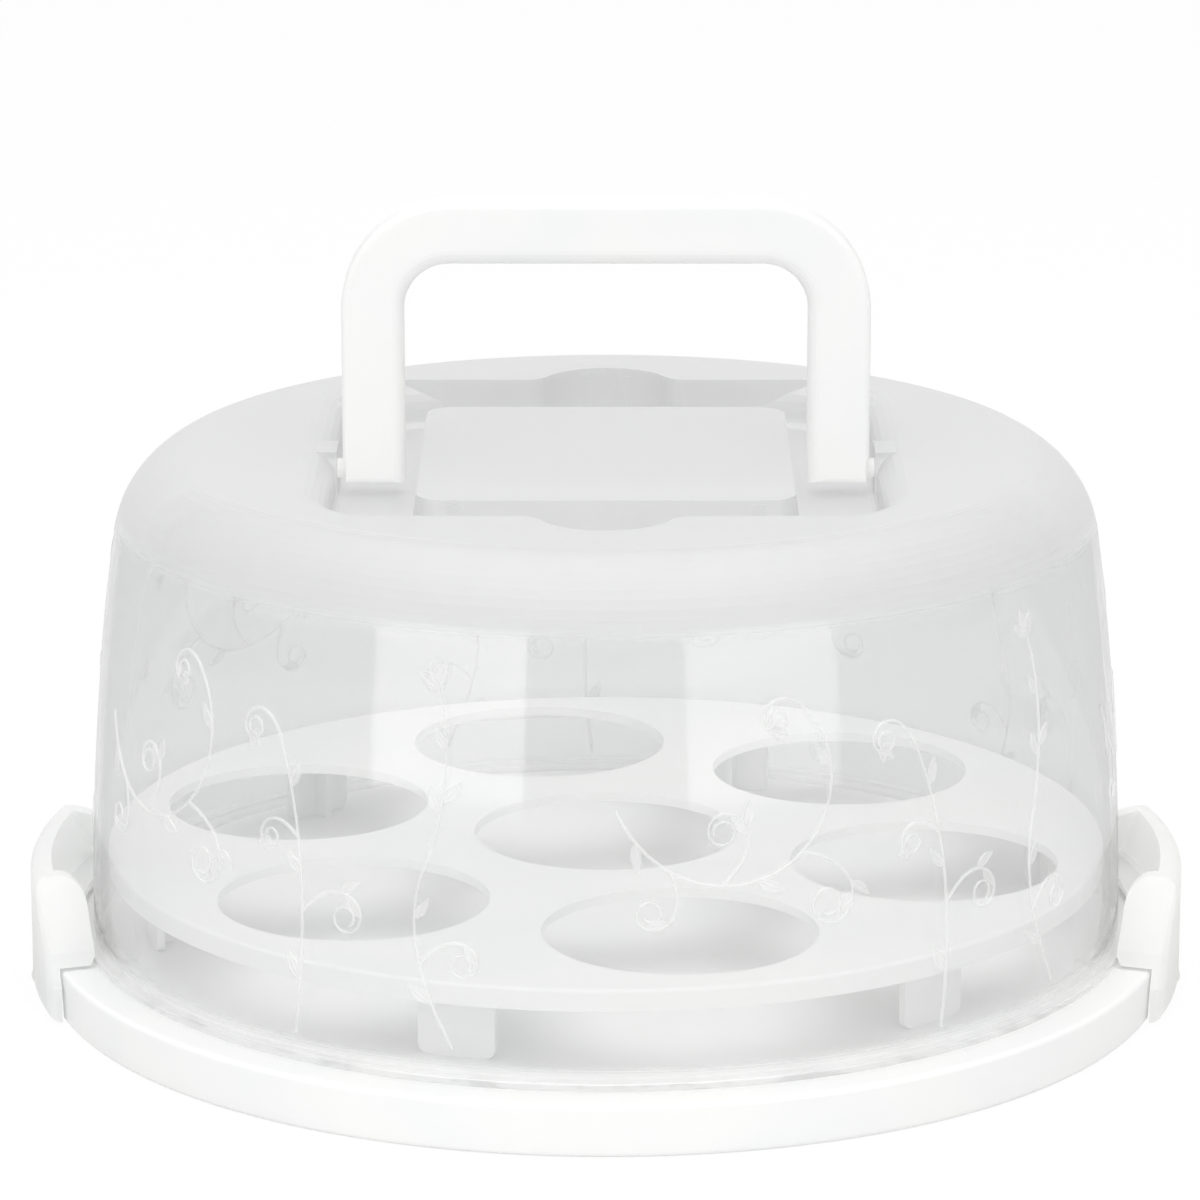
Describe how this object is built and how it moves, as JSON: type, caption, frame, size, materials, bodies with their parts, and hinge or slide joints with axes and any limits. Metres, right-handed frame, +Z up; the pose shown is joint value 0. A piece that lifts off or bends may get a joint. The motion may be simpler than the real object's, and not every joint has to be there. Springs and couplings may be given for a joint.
{
  "type": "cake carrier",
  "caption": "Round cake and cupcake carrier: white base tray, cupcake insert on legs, translucent lift-off lid with folding bail handle, and hinged side latches.",
  "frame": {"origin": "on the table under the centre of the round base", "axes": "+Z up; +X towards the right latch, so that the handle's bar runs along X; -Y towards the front"},
  "size_m": [0.308, 0.3, 0.2096],
  "materials": {
    "white_plastic": "satin moulded polypropylene",
    "clear_plastic": "translucent moulded polypropylene, clear wall and frosted top",
    "pin_steel": "drawn wire"
  },
  "bodies": {
    "base": {"base_tray": "white_plastic", "latch_pin_left": "pin_steel", "latch_pin_right": "pin_steel"},
    "insert": {"cupcake_insert": "white_plastic"},
    "lid": {"lid_dome": "clear_plastic"},
    "handle": {"carry_handle": "white_plastic"},
    "latch_l": {"latch_left": "white_plastic"},
    "latch_r": {"latch_right": "white_plastic"}
  },
  "joints": [
    {"name": "insert_lift", "type": "slide", "parent": "base", "child": "insert", "axis": [0, 0, 1], "range_m": [0, 0.025]},
    {"name": "lid_lift", "type": "slide", "parent": "base", "child": "lid", "axis": [0, 0, 1], "range_m": [0, 0.16]},
    {"name": "handle_fold", "type": "hinge", "parent": "lid", "child": "handle", "pos_m": [0, 0, 0.138], "axis": [1, 0, 0], "range_deg": [-89, 89]},
    {"name": "latch_left_hinge", "type": "hinge", "parent": "base", "child": "latch_l", "pos_m": [-0.1506, 0, 0.0039], "axis": [0, -1, 0], "range_deg": [-3, 80]},
    {"name": "latch_right_hinge", "type": "hinge", "parent": "base", "child": "latch_r", "pos_m": [0.1506, 0, 0.0039], "axis": [0, 1, 0], "range_deg": [-3, 80]}
  ]
}
